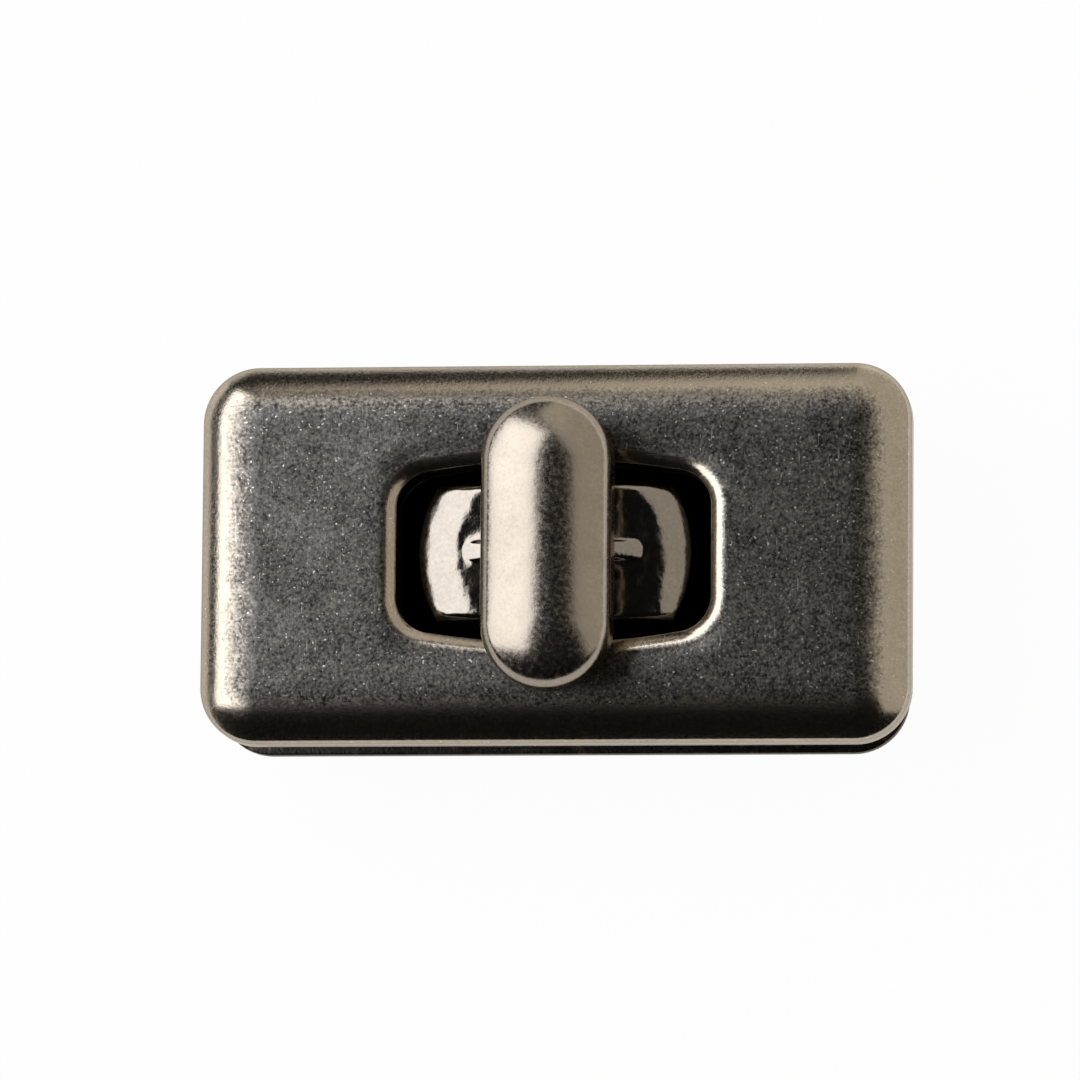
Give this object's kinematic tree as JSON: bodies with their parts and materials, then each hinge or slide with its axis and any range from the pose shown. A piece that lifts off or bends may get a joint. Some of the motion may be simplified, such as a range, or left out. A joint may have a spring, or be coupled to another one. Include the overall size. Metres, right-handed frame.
{
  "type": "twist lock",
  "caption": "Rectangular bag twist lock: a pillow-edged front plate with a window sits over a base whose domed knob turns across the window to hold the flap.",
  "frame": {"origin": "bottom centre: on the plane of the bent prong tabs, under the knob's axis", "axes": "+Z out of the bag along the knob's axis, +X along the front plate's length, +Y up the flap"},
  "size_m": [0.035, 0.0188, 0.0147],
  "materials": {
    "plated_plate": "zinc alloy casting with an antique gunmetal plating, tumbled and speckled",
    "polished_casting": "zinc alloy casting with a polished dark nickel plating",
    "black_sheet": "stamped steel sheet with a black nickel plating",
    "plated_steel": "steel sheet and wire with a thin nickel plating"
  },
  "bodies": {
    "base": {"front_plate": "plated_plate", "flap_back_plate": "black_sheet", "flap_screw_left": "plated_steel", "flap_screw_right": "plated_steel", "lock_base": "polished_casting", "detent_spring_upper": "plated_steel", "detent_spring_lower": "plated_steel", "prong_plate": "plated_steel", "bag_washer": "plated_steel"},
    "knob": {"turn_knob": "polished_casting", "retaining_washer": "plated_steel"}
  },
  "joints": [
    {"name": "knob_turn", "type": "hinge", "parent": "base", "child": "knob", "pos_m": [0, 0, 0.0091], "axis": [0, 0, 1], "continuous": true, "deforming": ["detent_spring_upper", "detent_spring_lower"]}
  ]
}
